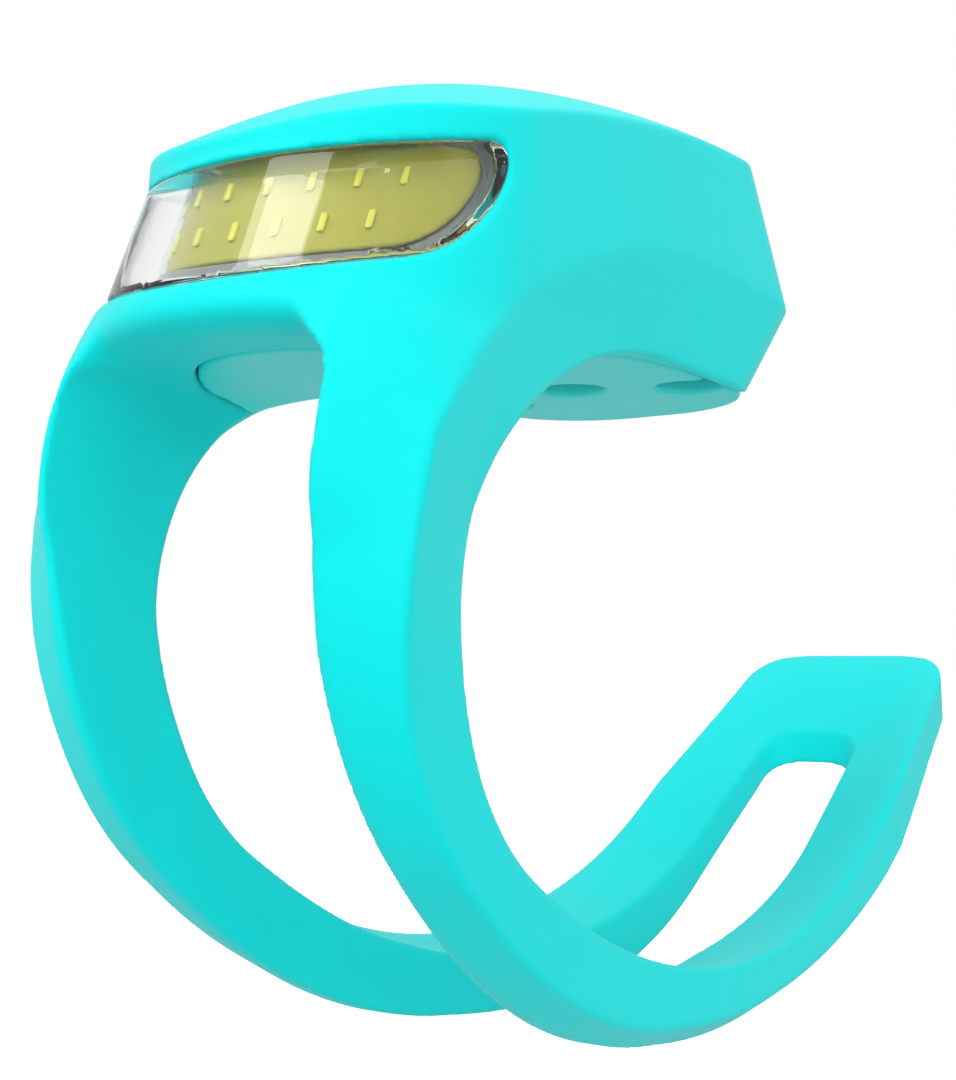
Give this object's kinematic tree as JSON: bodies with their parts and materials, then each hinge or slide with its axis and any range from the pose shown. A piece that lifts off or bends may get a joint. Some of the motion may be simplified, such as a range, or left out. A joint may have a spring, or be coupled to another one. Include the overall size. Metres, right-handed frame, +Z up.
{
  "type": "bicycle headlight",
  "caption": "Strap-on bicycle headlight: a soft pebble-shaped head with a wrap-round lens band over a light panel, and a two-legged looped strap that bends round the handlebar.",
  "frame": {"origin": "on the axis of the handlebar the strap goes round, midway between the two legs", "axes": "+X along the handlebar, -Y ahead of the rider along the beam, +Y to the rear, +Z up"},
  "size_m": [0.021, 0.0898, 0.0541],
  "materials": {
    "silicone": "matt moulded silicone, turquoise",
    "clear_lens": null,
    "grey_plastic": "smooth grey",
    "phosphor": "yellow phosphor silicone over the light chips",
    "phosphor_dot": "clear yellow domes",
    "board_white": "white solder mask on aluminium",
    "dark_plastic": "fine texture",
    "brass": "knurled",
    "hatch_plastic": "turquoise, to match the silicone",
    "seal_rubber": "smooth black",
    "screw_steel": "machined",
    "spring_steel": "nickel plated",
    "cell_steel": "bright nickel plated",
    "board_green": "green solder mask",
    "chip_black": "moulded epoxy",
    "white_plastic": "moulded",
    "lead_red": "insulated wire",
    "lead_black": "insulated wire"
  },
  "bodies": {
    "light": {"silicone_body": "silicone", "lens": "clear_lens", "bezel_frame": "grey_plastic", "phosphor_panel": "phosphor", "led_dies": "phosphor_dot", "led_board": "board_white", "module_shell": "dark_plastic", "thread_inserts": "brass", "coin_cell_lower": "cell_steel", "coin_cell_upper": "cell_steel", "top_contact": "spring_steel", "side_contact": "spring_steel", "main_board": "board_green", "board_parts": "chip_black", "switch_body": "chip_black", "lead_red": "lead_red", "lead_black": "lead_black"},
    "strap": {"strap_tail": "silicone"},
    "button": {"button_pad": "silicone", "switch_stem": "white_plastic"},
    "hatch": {"base_hatch": "hatch_plastic", "hatch_seal": "seal_rubber", "hatch_screws": "screw_steel", "cell_spring": "spring_steel"}
  },
  "joints": [
    {"name": "strap_flex", "type": "hinge", "parent": "light", "child": "strap", "pos_m": [0, 0.004, -0.01835], "axis": [1, 0, 0], "range_deg": [-30, 35], "stiffness_Nm_per_rad": 0.05, "springref_deg": 1.72},
    {"name": "button_press", "type": "slide", "parent": "light", "child": "button", "axis": [0, 0, -1], "range_m": [0, 0.00045], "stiffness_N_per_m": 2500},
    {"name": "hatch_lift", "type": "slide", "parent": "light", "child": "hatch", "axis": [0, 0, -1], "range_m": [0, 0.012]}
  ]
}
